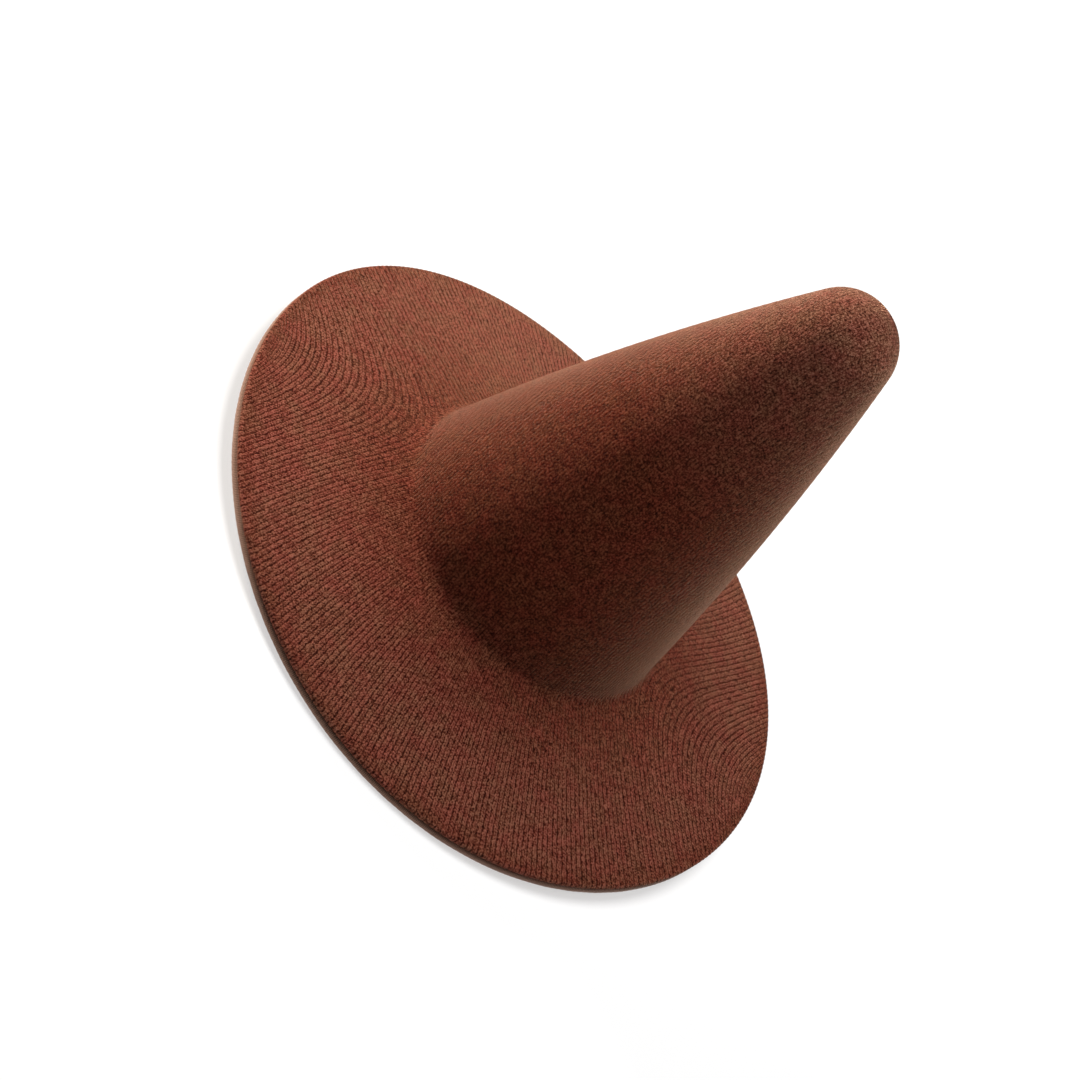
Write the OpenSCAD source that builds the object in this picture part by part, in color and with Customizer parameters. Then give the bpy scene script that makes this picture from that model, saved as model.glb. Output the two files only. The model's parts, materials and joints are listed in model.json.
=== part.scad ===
// A pointed hat with a wide round brim: a seamless knitted cover over a stiff foam form.
// The crown is a cone with a gently bowed side and a round tip, and the brim slopes down to a
// rolled, wired edge with piping under it. The hat stands on the piping, on z = 0, with the
// head's axis on Z and the front towards -Y. All lengths are in millimetres.
//
// Every layer's section is the cover's outer face moved inwards by an inset, so the layers
// lie on each other with one small clearance between them.

/* [Size] */
// Girth of the head that the hat fits
head_girth = 560; // [520:5:600]
// Diameter of the brim
brim_d = 410; // [380:5:440]
// Height of the tip above the surface that the hat stands on
hat_h = 338; // [320:1:360]
// Radius of the round tip
tip_r = 33.5; // [28:0.5:38]
// Radius of the outward bow of the crown's side
side_bow_r = 2300; // [1800:50:3400]
// Angle of the brim below level
brim_droop = 17; // [13:0.5:20]
// Radius of the crown's foot beyond the radius of the head
crown_ease = 7.8; // [7.6:0.1:9.4]
// Radius of the fillet where the crown meets the brim
foot_r = 8; // [7:0.5:10]

/* [Cover and lining] */
// Thickness of the knitted cover
cover_t = 1.2; // [1:0.05:1.2]
// Radius of the brim's rolled edge
edge_r = 2.45; // [2.45:0.05:2.7]
// Width of the hem that the cover turns under the brim
hem_w = 8; // [6:0.5:12]
// Thickness of the crown's lining
lining_t = 0.3; // [0.2:0.05:0.3]
// Thickness of the facing under the brim
facing_t = 1; // [0.6:0.1:1.2]

/* [Form] */
// Thickness of the foam in the crown
foam_t = 1.6; // [1.2:0.1:1.6]
// Thickness of the tapes over the foam's seams
tape_t = 0.3; // [0.15:0.05:0.3]
// Width of the tapes over the foam's seams
tape_w = 14; // [10:1:20]

/* [Edge] */
// Radius of the wire in the brim's edge
wire_r = 0.8; // [0.6:0.05:0.8]
// Length of the ferrule that joins the wire's ends
ferrule_len = 14; // [10:1:20]
// Radius of the piping under the edge
pipe_r = 2.5; // [2.3:0.1:2.6]
// Width of the piping's flat foot
pipe_foot_w = 2; // [1:0.1:2.2]

/* [Sweatband] */
// Height of the sweatband
band_h = 20; // [14:1:20]
// Thickness of the sweatband
band_t = 0.7; // [0.4:0.1:0.7]

/* [Labels] */
// Width of the blank woven label
label_w = 42; // [30:1:50]
// Height of the blank woven label
label_h = 16; // [12:1:20]
// Width of the blank care tag
tag_w = 20; // [14:1:24]
// Length of the folded care tag
tag_len = 26; // [18:1:27]

/* [Stitches] */
// Radius of the sewing thread
thread_r = 0.3; // [0.2:0.05:0.35]
// Number of stitches round the hem
hem_stitch_n = 200; // [120:10:240]
// Number of stitches round the head opening
band_stitch_n = 130; // [90:10:150]

/* [Hidden] */
$fn = 96;

// Clearance between layers that touch
gap = 0.05;
// Clearance between pieces that butt edge to edge
butt = 0.1;
// How far a cutter runs past what it cuts
overcut = 1;
// Facets of each arc in the sections
tip_n = 12;
side_n = 14;
foot_n = 6;
edge_n = 12;
pipe_n = 24;

// Radii about the head's axis
head_r = head_girth / (2 * PI);
brim_r = brim_d / 2;
base_r = head_r + crown_ease;

// Insets of each layer's two faces below the cover's outer face
foam_in = cover_t + gap;
foam_out = foam_in + foam_t;
tape_in = foam_out + gap;
tape_out = tape_in + tape_t;
lining_in = tape_out + gap;
lining_out = lining_in + lining_t;
label_in = lining_out + gap;
brim_foam_out = 2 * edge_r - cover_t - gap;
// Run of the brim in which its foam thins to the crown's
thin_run = 4;
flange_in = 2 * edge_r + gap;
flange_t = 0.6;
pipe_wall = 0.9;
facing_in = flange_in + flange_t + gap;

// Directions along the brim, outwards and down, and square to it, upwards
brim_u = [cos(brim_droop), -sin(brim_droop)];
brim_v = [sin(brim_droop), cos(brim_droop)];

// Centres of the arcs, as [radius, height]: the piping is cut flat on z = 0, and the rolled
// edge lies on the piping
pipe_c = [brim_r - pipe_r, sqrt(pow(pipe_r, 2) - pow(pipe_foot_w / 2, 2))];
edge_c = [brim_r - edge_r,
          pipe_c[1] + sqrt(pow(edge_r + pipe_r + gap, 2) - pow(pipe_r - edge_r, 2))];
tip_c = [0, hat_h - tip_r];

// The sharp corner where the crown's side would meet the brim without a fillet
corner = [base_r, edge_c[1] + (edge_r + (edge_c[0] - base_r) * brim_v[0]) / brim_v[1]];

// The side's arc passes through that corner and touches the tip's arc from outside
side_c = circles_meet(corner, side_bow_r, tip_c, side_bow_r - tip_r);

// The fillet touches the brim's line and the side's arc
foot_q = corner + foot_r * brim_v - side_c;
foot_b = foot_q * brim_u;
foot_shift = -foot_b + sqrt(foot_b * foot_b + pow(side_bow_r + foot_r, 2) - foot_q * foot_q);
foot_c = corner + foot_r * brim_v + foot_shift * brim_u;
// Distance of the fillet's end from the edge's centre, along the brim
foot_s = (edge_c - foot_c) * brim_u;

// Angles at which the side's arc meets the tip and the fillet
tip_a = angle_of(tip_c - side_c);
foot_a = angle_of(foot_c - side_c);
tip_step = (90 - tip_a) / tip_n;
foot_step = (90 - brim_droop - foot_a) / foot_n;

// Facing: the turned-up leg behind the sweatband, and the stretch that drops over the hem
leg_gap = 0.07;
leg_t = 0.8;
leg_in = head_r + band_t + leg_gap;
leg_out = leg_in + leg_t;
leg_h = 8;
facing_near = brim_foam_out + gap;
facing_start = 1.3;
drop_from = hem_w + 1;
drop_w = 10;

// Sweatband, from the facing's lower face upwards
band_z = brim_at(brim_s(leg_in, facing_near + facing_t), facing_near + facing_t)[1];

// Edge wire and ferrule
wire_gap = 3;
ferrule_bore = wire_r + 0.05;
ferrule_r = edge_r - cover_t - gap;

// Labels, at the back above the sweatband, with this much lining showing below the tag
tag_lift = 4;
label_z = band_z + band_h + tag_len + tag_lift;
label_t = 0.3;
tag_t = 0.2;
tag_fold = 0.7;

// Stitches: where each row lies, how long its stitches are, and how far in from the
// label's edges the label's rows and their ends are
hem_stitch_s = 4.5;
hem_stitch_len = 3.4;
band_stitch_out = 2;
band_stitch_r = leg_out + band_stitch_out;
band_stitch_len = 2.6;
label_stitch_n = 9;
label_stitch_in = 1.5;
label_side_in = 2;
label_stitch_len = 2.6;

function polar(a) = [cos(a), sin(a)];
function angle_of(v) = atan2(v[1], v[0]);
// Angle that an arc of radius r spans over a length
function span(length, r) = length / r * 180 / PI;
function reversed(p) = [for (i = [len(p) - 1:-1:0]) p[i]];
function arc(c, r, from, to, n) = [for (i = [0:n]) c + r * polar(from + (to - from) * i / n)];
// Where two circles cross, on the left of the way from a to b
function circles_meet(a, ra, b, rb) =
    let (d = norm(b - a), x = (d * d + ra * ra - rb * rb) / (2 * d), u = (b - a) / d)
    a + x * u + sqrt(ra * ra - x * x) * [-u[1], u[0]];
// One line of points from several, without the points that repeat
function chain(lines) =
    let (p = [for (l = lines) each l])
    [for (i = [0:len(p) - 1]) if (i == 0 || norm(p[i] - p[i - 1]) > 0.001) p[i]];

// The outer face, inset by d, as four lines from the tip's pole to the hem
function tip_line(d) = arc(tip_c, tip_r - d, 90, tip_a, tip_n);
function side_line(d, from = tip_a, to = foot_a) =
    arc(side_c, side_bow_r - d, from, to, side_n);
function foot_line(d, steps = foot_n) =
    arc(foot_c, foot_r + d, foot_a + 180, foot_a + 180 + steps * foot_step, steps);
function edge_line(d) =
    arc(edge_c, edge_r - d, 90 - brim_droop, -90 - brim_droop, edge_n);
// A point of the brim, a distance s inboard of the edge's centre and inset by d
function brim_at(s, d) = edge_c + (edge_r - d) * brim_v - s * brim_u;
// The distance s at which the face inset by d has radius r
function brim_s(r, d) = (edge_c[0] + (edge_r - d) * brim_v[0] - r) / brim_u[0];
// Radius of the side's face, inset by d, at height z
function side_r(z, d) = side_c[0] + sqrt(pow(side_bow_r - d, 2) - pow(z - side_c[1], 2));

module revolve(outer, inner) {
    rotate_extrude() polygon(chain([outer, reversed(inner)]));
}

module wedge_at_back(w, z, h) {
    translate([-w / 2, 0, z]) cube([w, brim_r, h]);
}

module stitch_ring(r, z, n, length) {
    for (i = [0:n - 1])
        rotate([0, 0, (i + 0.5) * 360 / n])
            translate([r, 0, z]) rotate([90, 0, 0])
                cylinder(r = thread_r, h = length, center = true, $fn = 24);
}

// Cover: one seamless knitted piece, turned under round the edge
module knit_cover() {
    function face(d) = chain([tip_line(d), side_line(d), foot_line(d), edge_line(d),
                              [edge_line(d)[edge_n] - hem_w * brim_u]]);
    color([0.49, 0.29, 0.25]) revolve(face(0), face(cover_t));
}

// Form: a rolled cone with a butted back seam, a moulded tip and a brim with a turned-up collar
module crown_foam() {
    function face(d) = side_line(d, tip_a - span(butt, side_bow_r), foot_a + span(butt, side_bow_r));
    color([0.2, 0.17, 0.16]) difference() {
        revolve(face(foam_in), face(foam_out));
        wedge_at_back(2 * butt, 0, hat_h);
    }
}

module tip_foam() {
    color([0.24, 0.2, 0.19]) revolve(tip_line(foam_in), tip_line(foam_out));
}

module brim_foam() {
    end_s = ferrule_r + 2 * gap;
    thin_s = foot_s - thin_run;
    color([0.22, 0.18, 0.17])
        revolve(concat(foot_line(foam_in), [brim_at(end_s, foam_in)]),
                concat(foot_line(foam_out), [brim_at(thin_s, brim_foam_out),
                                             brim_at(end_s, brim_foam_out)]));
}

// Tapes inside the form, over its three seams
module crown_seam_tape() {
    top = tip_c[1] - tape_w;
    low = foot_c[1] + tape_w;
    color([0.85, 0.83, 0.78]) intersection() {
        revolve(side_line(tape_in), side_line(tape_out));
        wedge_at_back(tape_w, low, top - low);
    }
}

module tip_seam_tape() {
    function face(d) = chain([arc(tip_c, tip_r - d, tip_a + 2 * tip_step, tip_a, 2),
                              arc(side_c, side_bow_r - d, tip_a,
                                  tip_a - span(tape_w / 2, side_bow_r), 1)]);
    color([0.85, 0.83, 0.78]) revolve(face(tape_in), face(tape_out));
}

module brim_seam_tape() {
    function face(d) = chain([arc(side_c, side_bow_r - d,
                                  foot_a + span(tape_w / 2, side_bow_r), foot_a, 1),
                              foot_line(d, 2)]);
    color([0.85, 0.83, 0.78]) revolve(face(tape_in), face(tape_out));
}

module crown_lining() {
    function face(d) = chain([tip_line(d), side_line(d)]);
    color([0.18, 0.13, 0.12]) revolve(face(lining_in), face(lining_out));
}

// Facing: from the piping to the opening, then turned up behind the sweatband
module under_brim() {
    function face(shift, leg_r) =
        [brim_at(facing_start, facing_in + shift), brim_at(drop_from, facing_in + shift),
         brim_at(drop_from + drop_w, facing_near + shift),
         brim_at(brim_s(leg_r, facing_near + shift), facing_near + shift),
         [leg_r, band_z + leg_h]];
    color([0.43, 0.25, 0.22]) revolve(face(0, leg_out), face(facing_t, leg_in));
}

// Piping: fabric round a cord, with a flange that is sewn between the hem and the facing
module edge_piping() {
    pipe_s = (edge_c - pipe_c) * brim_u;
    foot_half_a = asin(pipe_foot_w / 2 / pipe_r);
    color([0.55, 0.38, 0.32]) difference() {
        union() {
            rotate_extrude()
                polygon(arc(pipe_c, pipe_r, foot_half_a - 90, 270 - foot_half_a, pipe_n));
            rotate_extrude()
                polygon([brim_at(pipe_s, flange_in), brim_at(pipe_s, flange_in + flange_t),
                         brim_at(hem_w, flange_in + flange_t), brim_at(hem_w, flange_in)]);
        }
        rotate_extrude()
            polygon(arc(pipe_c, pipe_r - pipe_wall, 0, 360 - 360 / pipe_n, pipe_n - 1));
    }
}

module piping_cord() {
    color([0.88, 0.86, 0.8]) rotate_extrude() translate(pipe_c) circle(r = pipe_r - pipe_wall - gap);
}

module edge_wire() {
    open_a = span(wire_gap, edge_c[0]);
    color([0.7, 0.7, 0.72]) rotate([0, 0, 90 + open_a / 2])
        rotate_extrude(angle = 360 - open_a) translate(edge_c) circle(r = wire_r);
}

module wire_ferrule() {
    ferrule_a = span(ferrule_len, edge_c[0]);
    color([0.76, 0.62, 0.32]) rotate([0, 0, 90 - ferrule_a / 2])
        rotate_extrude(angle = ferrule_a) translate(edge_c) difference() {
            circle(r = ferrule_r);
            circle(r = ferrule_bore);
        }
}

module sweatband() {
    color([0.12, 0.1, 0.1]) translate([0, 0, band_z]) difference() {
        cylinder(r = head_r + band_t, h = band_h);
        translate([0, 0, -overcut]) cylinder(r = head_r, h = band_h + 2 * overcut);
    }
}

// Stitches: a row through the hem, and a row that holds the facing beside the opening
module hem_stitches() {
    p = brim_at(hem_stitch_s, facing_in + facing_t + thread_r + gap);
    color([0.35, 0.2, 0.17]) stitch_ring(p[0], p[1], hem_stitch_n, hem_stitch_len);
}

module band_stitches() {
    d = facing_near + facing_t + thread_r + gap;
    p = brim_at(brim_s(band_stitch_r, d), d);
    color([0.3, 0.17, 0.15]) stitch_ring(p[0], p[1], band_stitch_n, band_stitch_len);
}

// Labels on the lining, both blank
module woven_label() {
    color([0.2, 0.19, 0.19]) intersection() {
        revolve(side_line(label_in), side_line(label_in + label_t));
        wedge_at_back(label_w, label_z, label_h);
    }
}

module care_tag() {
    low = label_z - butt - tag_len;
    color([0.92, 0.91, 0.88]) difference() {
        intersection() {
            revolve(side_line(label_in), side_line(label_in + tag_fold));
            wedge_at_back(tag_w, low, tag_len);
        }
        intersection() {
            revolve(side_line(label_in + tag_t), side_line(label_in + tag_fold - tag_t));
            wedge_at_back(tag_w + 2 * overcut, low + tag_t, tag_len);
        }
    }
}

module label_stitches() {
    inset = label_in + label_t + thread_r + 2 * gap;
    for (z = [label_z + label_stitch_in, label_z + label_h - label_stitch_in]) {
        r = side_r(z, inset);
        step_a = span((label_w - 2 * label_side_in) / (label_stitch_n - 1), r);
        color([0.3, 0.28, 0.27])
            for (i = [0:label_stitch_n - 1])
                rotate([0, 0, (i - (label_stitch_n - 1) / 2) * step_a])
                    translate([0, r, z]) rotate([0, 90, 0])
                        cylinder(r = thread_r, h = label_stitch_len, center = true, $fn = 24);
    }
}

knit_cover();
crown_foam();
tip_foam();
brim_foam();
crown_seam_tape();
tip_seam_tape();
brim_seam_tape();
crown_lining();
under_brim();
edge_piping();
piping_cord();
edge_wire();
wire_ferrule();
sweatband();
hem_stitches();
band_stitches();
woven_label();
care_tag();
label_stitches();
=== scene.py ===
import json
import math

import bpy
import numpy as np
from mathutils import Matrix, Vector


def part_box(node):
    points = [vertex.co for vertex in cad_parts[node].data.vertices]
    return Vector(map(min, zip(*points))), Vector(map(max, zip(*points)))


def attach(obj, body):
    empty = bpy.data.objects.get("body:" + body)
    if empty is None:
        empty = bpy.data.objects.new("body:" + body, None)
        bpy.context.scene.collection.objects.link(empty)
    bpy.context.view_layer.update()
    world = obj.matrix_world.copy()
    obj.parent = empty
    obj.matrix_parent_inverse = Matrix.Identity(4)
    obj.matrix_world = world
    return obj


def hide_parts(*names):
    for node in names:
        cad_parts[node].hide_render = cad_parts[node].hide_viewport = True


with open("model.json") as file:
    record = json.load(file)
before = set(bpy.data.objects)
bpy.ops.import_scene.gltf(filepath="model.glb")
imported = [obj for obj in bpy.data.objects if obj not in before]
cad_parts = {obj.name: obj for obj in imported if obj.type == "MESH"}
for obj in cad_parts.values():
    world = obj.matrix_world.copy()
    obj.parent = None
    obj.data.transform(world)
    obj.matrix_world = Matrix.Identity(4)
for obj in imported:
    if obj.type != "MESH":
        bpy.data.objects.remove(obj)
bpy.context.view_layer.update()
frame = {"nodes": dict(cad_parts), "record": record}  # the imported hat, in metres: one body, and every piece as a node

scene = bpy.context.scene
print("frame:", len(frame["nodes"]), "nodes")


def nodeBox(node):
    low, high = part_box(node)
    return np.array(low), np.array(high)


coverHigh = nodeBox("knit_cover")[1]
wireLow, wireHigh = nodeBox("edge_wire")
cordLow, cordHigh = nodeBox("piping_cord")
bandLow, bandHigh = nodeBox("sweatband")
opening = next(m for m in frame["record"]["mounts"] if m["name"] == "head_opening")

hat = {
    "brimR": coverHigh[0],
    "tipZ": coverHigh[2],
    "headR": opening["dims"]["r_mm"] / 1000,
    "tipR": 0.0335,  # round tip
    "bowR": 2.3,  # outward bow of the side
    "footR": 0.008,  # fillet between crown and brim
    "droop": math.radians(17),  # brim below level
    "ease": 0.0078,  # crown's foot beyond the head's radius
    "edgeR": 0.00245,  # rolled edge
    "pipeR": 0.0025,  # piping under the edge
    "coverT": 0.0012,  # knitted cover
    "foamT": 0.0016,  # foam in the crown
    "tapeT": 0.0003,
    "liningT": 0.0003,
    "facingT": 0.001,
    "hem": 0.008,  # hem turned under the edge
    "gap": 0.00005,  # between layers that touch
}

# The brim's gentle wave: it only rises from the flat edge, twice round the hat
wave = {"rise": 0.00574, "highAt": math.radians(-7), "startR": 0.104, "power": 1.5}


def polar(angle):
    return np.stack([np.cos(angle), np.sin(angle)], axis=-1)


def angleOf(v):
    return math.atan2(v[1], v[0])


def circlesMeet(a, ra, b, rb):
    # Where two circles cross, on the left of the way from a to b
    away = b - a
    d = np.linalg.norm(away)
    along = (d * d + ra * ra - rb * rb) / (2 * d)
    u = away / d
    return a + along * u + math.sqrt(ra * ra - along * along) * np.array([-u[1], u[0]])


brimU = np.array([math.cos(hat["droop"]), -math.sin(hat["droop"])])  # outwards and down
brimV = np.array([math.sin(hat["droop"]), math.cos(hat["droop"])])  # square to it, up
edgeC = np.array([hat["brimR"] - hat["edgeR"], (wireLow[2] + wireHigh[2]) / 2])
pipeC = np.array([hat["brimR"] - hat["pipeR"], (cordLow[2] + cordHigh[2]) / 2])
tipC = np.array([0, hat["tipZ"] - hat["tipR"]])
baseR = hat["headR"] + hat["ease"]
cornerZ = edgeC[1] + (hat["edgeR"] + (edgeC[0] - baseR) * brimV[0]) / brimV[1]
corner = np.array([baseR, cornerZ])
sideC = circlesMeet(corner, hat["bowR"], tipC, hat["bowR"] - hat["tipR"])
footQ = corner + hat["footR"] * brimV - sideC
footB = footQ @ brimU
footShift = -footB + math.sqrt(footB**2 + (hat["bowR"] + hat["footR"]) ** 2 - footQ @ footQ)
footC = corner + hat["footR"] * brimV + footShift * brimU
tipA = angleOf(tipC - sideC)
footA = angleOf(footC - sideC)
footTurn = math.pi / 2 - hat["droop"] - footA

# Distances down the cover's face at which one stretch of the section gives way to the next
tipEnd = hat["tipR"] * (math.pi / 2 - tipA)
sideEnd = tipEnd + hat["bowR"] * (tipA - footA)
footEnd = sideEnd + hat["footR"] * footTurn
brimEnd = footEnd + (edgeC - footC) @ brimU
edgeEnd = brimEnd + math.pi * hat["edgeR"]
hemEnd = edgeEnd + hat["hem"]


def section(s, inset=0.0):
    # Point (r, z) and outward direction at distance s down the face that is set in by inset:
    # arcs for the tip, side, foot and edge, and straight lines for the brim and the hem
    s, inset = np.broadcast_arrays(np.asarray(s, float), np.asarray(inset, float))
    d = inset[..., None]
    tipN = polar(math.pi / 2 - s / hat["tipR"])
    sideN = polar(tipA - (s - tipEnd) / hat["bowR"])
    footN = -polar(footA + math.pi + (s - sideEnd) / hat["footR"])
    brimN = np.broadcast_to(brimV, tipN.shape)
    edgeN = polar(math.pi / 2 - hat["droop"] - (s - brimEnd) / hat["edgeR"])
    stretches = [
        (s <= tipEnd, tipN, tipC + (hat["tipR"] - d) * tipN),
        (s <= sideEnd, sideN, sideC + (hat["bowR"] - d) * sideN),
        (s <= footEnd, footN, footC - (hat["footR"] + d) * footN),
        (s <= brimEnd, brimN, edgeC + (hat["edgeR"] - d) * brimV - (brimEnd - s)[..., None] * brimU),
        (s <= edgeEnd, edgeN, edgeC + (hat["edgeR"] - d) * edgeN),
    ]
    n = -brimN
    p = edgeC - (hat["edgeR"] - d) * brimV - (s - edgeEnd)[..., None] * brimU
    for inside, stretchN, stretchP in reversed(stretches):
        n = np.where(inside[..., None], stretchN, n)
        p = np.where(inside[..., None], stretchP, p)
    return p, n


def brimAt(along, inset):
    # Point (r, z) of the brim, a distance inboard of the edge's centre, set in by inset
    return edgeC + (hat["edgeR"] - inset) * brimV - along * brimU


def brimAlong(r, inset):
    # The distance inboard at which the face set in by inset has radius r
    return (edgeC[0] + (hat["edgeR"] - inset) * brimV[0] - r) / brimU[0]


def lifted(points):
    # Height plus rise * t^power * (1 + cos of twice the angle from the high place), with t from
    # 0 at the crown's foot to 1 at the edge
    r = np.hypot(points[..., 0], points[..., 1])
    t = np.clip((r - wave["startR"]) / (hat["brimR"] - wave["startR"]), 0, None)
    turn = np.arctan2(points[..., 1], points[..., 0]) - wave["highAt"]
    up = wave["rise"] * t ** wave["power"] * (1 + np.cos(2 * turn))
    return points + np.stack([0 * up, 0 * up, up], axis=-1)


def makeMesh(name, points, faces, uvs, values=None):
    # One object from an array of points and a list of (m, 3) or (m, 4) arrays of faces, with
    # arrays of their corners' UVs, or None for zeros, and named values at the points
    mesh = bpy.data.meshes.new(name)
    counts = np.concatenate([np.full(len(f), f.shape[1]) for f in faces])
    corners = np.concatenate([f.ravel() for f in faces])
    mesh.vertices.add(len(points))
    mesh.vertices.foreach_set("co", points.astype(np.float32).ravel())
    mesh.loops.add(len(corners))
    mesh.loops.foreach_set("vertex_index", corners.astype(np.int32))
    mesh.polygons.add(len(counts))
    mesh.polygons.foreach_set("loop_start", (np.cumsum(counts) - counts).astype(np.int32))
    mesh.polygons.foreach_set("loop_total", counts.astype(np.int32))
    mesh.update(calc_edges=True)
    mesh.polygons.foreach_set("use_smooth", np.ones(len(counts), bool))
    layer = mesh.uv_layers.new(name="weave")
    flat = [np.zeros(2 * f.size) if uv is None else uv.ravel() for f, uv in zip(faces, uvs)]
    layer.data.foreach_set("uv", np.concatenate(flat).astype(np.float32))
    for key, value in (values or {}).items():
        attribute = mesh.attributes.new(key, "FLOAT", "POINT")
        attribute.data.foreach_set("value", value.astype(np.float32))
    mesh.validate()
    piece = bpy.data.objects.new(name, mesh)
    scene.collection.objects.link(piece)
    return piece


def gridFaces(rows, columns, wrapRows=False, wrapColumns=False):
    # Quads of a grid whose points are numbered row by row
    i, j = np.meshgrid(
        np.arange(rows if wrapRows else rows - 1),
        np.arange(columns if wrapColumns else columns - 1),
        indexing="ij",
    )
    up, over = (i + 1) % rows, (j + 1) % columns
    quads = [i * columns + j, i * columns + over, up * columns + over, up * columns + j]
    return np.stack(quads, axis=-1).reshape(-1, 4), i.ravel(), j.ravel()


def gridUvs(i, j, u, v):
    # UVs of those quads from u along the columns and v along the rows, which have one value
    # more than the grid where it wraps
    corners = ((i, j), (i, j + 1), (i + 1, j + 1), (i + 1, j))
    return np.stack([np.stack([u[b], v[a]], -1) for a, b in corners], axis=1)


def turned(r, z, angle):
    # Points at radius r and height z, turned by angle from the front towards +X
    return np.stack([r * np.sin(angle), -r * np.cos(angle), z + 0 * angle], axis=-1)


def spun(line, angle):
    # A grid of points: a line of (r, z) points at each angle
    return turned(line[:, None, 0], line[:, None, 1], angle[None, :])


def lengthAlong(points):
    # Distance run along a line of points
    steps = np.linalg.norm(np.diff(points, axis=0), axis=-1)
    return np.concatenate([[0], np.cumsum(steps)])


def hoop(name, loop, columns, relief=None, wavy=True, spanA=None, bore=None):
    # A closed section carried round the axis: loop holds its (r, z) points, clockwise as seen
    # with r to the right, and relief moves each point of the (rows, columns) grid along the
    # section's own outward direction. spanA = (from, to) makes an open arc with capped ends,
    # and bore is a second, smooth section inside that faces inwards
    rows = len(loop)
    ahead = np.roll(loop, -1, axis=0) - np.roll(loop, 1, axis=0)
    out = np.stack([-ahead[:, 1], ahead[:, 0]], -1)
    out /= np.linalg.norm(out, axis=1)[:, None]
    around = lengthAlong(np.vstack([loop, loop[:1]]))
    if spanA is None:
        angle = np.arange(columns + 1) * 2 * math.pi / columns
        used = angle[:-1]
    else:
        angle = used = np.linspace(spanA[0], spanA[1], columns)
    grid = np.broadcast_to(loop[:, None], (rows, len(used), 2))
    if relief is not None:
        grid = grid + out[:, None] * relief(around[:-1, None], used[None, :])[..., None]
    points = turned(grid[..., 0], grid[..., 1], used[None, :]).reshape(-1, 3)
    quads, i, j = gridFaces(rows, len(used), True, spanA is None)
    uvs = gridUvs(i, j, angle * loop[:, 0].mean(), around)
    faces = [quads[:, ::-1]]
    if spanA is not None:
        first = np.arange(rows) * len(used)
        for ring in (first[::-1], first + len(used) - 1):
            centre = len(points)
            points = np.vstack([points, points[ring].mean(axis=0)])
            faces.append(np.stack([np.full(rows, centre), ring, np.roll(ring, -1)], -1))
    if bore is not None:
        faces.append(gridFaces(len(bore), columns, True, True)[0] + len(points))
        points = np.vstack([points, spun(bore, used).reshape(-1, 3)])
    faceUvs = [uvs[:, ::-1], *[None] * (len(faces) - 1)]
    return makeMesh(name, lifted(points) if wavy else points, faces, faceUvs)


def dome(name, s, outer, inner, columns):
    # A shell closed over the tip: distances s down the face from the pole, and how far its two
    # faces are set in there, as functions of (s, angle), with one point at each pole
    angle = np.arange(columns + 1) * 2 * math.pi / columns
    used = angle[:-1]
    rows = s[1:, None]
    faces = [section(rows, face(rows, used[None, :]))[0] for face in (outer, inner)]
    grid = np.concatenate([faces[0], faces[1][::-1]])
    points = turned(grid[..., 0], grid[..., 1], used[None, :]).reshape(-1, 3)
    tops = [section(0, face(0, 0))[0] for face in (outer, inner)]
    points = np.vstack([points, [0, 0, tops[0][1]], [0, 0, tops[1][1]]])
    quads, i, j = gridFaces(len(grid), columns, False, True)
    ring = np.arange(columns)
    last = (len(grid) - 1) * columns
    pole = len(points) - 2
    top = np.stack([np.full(columns, pole), ring, np.roll(ring, -1)], -1)
    bottom = np.stack([np.full(columns, pole + 1), last + np.roll(ring, -1), last + ring], -1)
    down = np.concatenate([s[1:], s[:0:-1]])
    uvs = gridUvs(i, j, angle * grid[..., 0].max(), down)[:, ::-1]
    return makeMesh(name, points, [quads[:, ::-1], top, bottom], [uvs, None, None])


def slab(name, front, back, size):
    # A closed thin piece between two (rows, columns) grids of points: both faces and the rim.
    # size is its (length, width) for the UVs
    rows, columns = front.shape[:2]
    quads, i, j = gridFaces(rows, columns)
    uvs = gridUvs(i, j, np.linspace(0, size[1], columns), np.linspace(0, size[0], rows))
    count = rows * columns
    ids = np.arange(count).reshape(rows, columns)
    rim = np.concatenate([ids[0, :-1], ids[:-1, -1], ids[-1, :0:-1], ids[:0:-1, 0]])
    after = np.roll(rim, -1)
    sides = np.stack([rim, rim + count, after + count, after], -1)
    points = np.concatenate([front.reshape(-1, 3), back.reshape(-1, 3)])
    faces = [quads[:, ::-1], quads + count, sides[:, ::-1]]
    return makeMesh(name, points, faces, [uvs[:, ::-1], uvs, None])


def ribbon(name, path, thick, width, columns):
    # A strip of cloth at the back of the crown: its path is a line of (r, z) points through the
    # middle of its thickness, and it bends round the axis across its width
    ahead = np.gradient(path, axis=0)
    side = np.stack([ahead[:, 1], -ahead[:, 0]], -1)
    side /= np.linalg.norm(side, axis=1)[:, None]
    across = np.linspace(-width / 2, width / 2, columns)
    angle = math.pi + across[None, :] / path[:, :1].mean()
    faces = []
    for way in (-0.5, 0.5):
        line = path + way * thick * side
        faces.append(turned(line[:, None, 0], line[:, None, 1], angle))
    return slab(name, faces[0], faces[1], (lengthAlong(path)[-1], width))


stitch = {"rings": 7, "sides": 6, "rise": 0.55, "dive": 1.5, "taper": 0.35}  # heights in radii


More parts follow.
